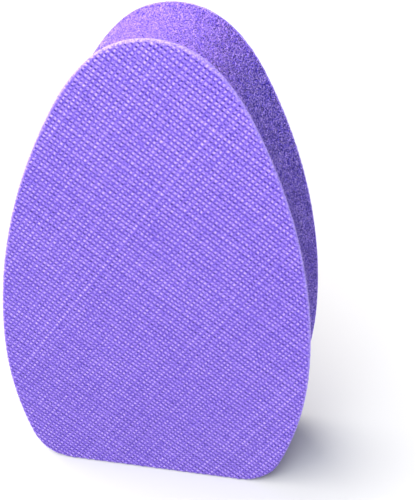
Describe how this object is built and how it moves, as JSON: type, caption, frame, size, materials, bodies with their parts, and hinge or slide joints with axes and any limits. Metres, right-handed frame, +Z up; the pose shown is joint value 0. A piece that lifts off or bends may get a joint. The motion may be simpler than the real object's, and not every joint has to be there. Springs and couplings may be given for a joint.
{
  "type": "grooming sponge",
  "caption": "Egg-shaped foam grooming block with a flat foot, dished side wall and woven scrub facings front and rear.",
  "frame": {"origin": "middle of the flat foot, on the surface that the block stands on", "axes": "+Z up from the foot to the crown, +Y from the front scrub facing to the rear one, +X to the right seen from the front"},
  "size_m": [0.099, 0.0384, 0.152],
  "materials": {
    "foam": "matte",
    "scrub_facing": "matte",
    "bond_film": "matte"
  },
  "bodies": {
    "root": {"foam_core": "foam", "front_scrub_face": "scrub_facing", "rear_scrub_face": "scrub_facing", "front_bond_film": "bond_film", "rear_bond_film": "bond_film"}
  },
  "joints": []
}
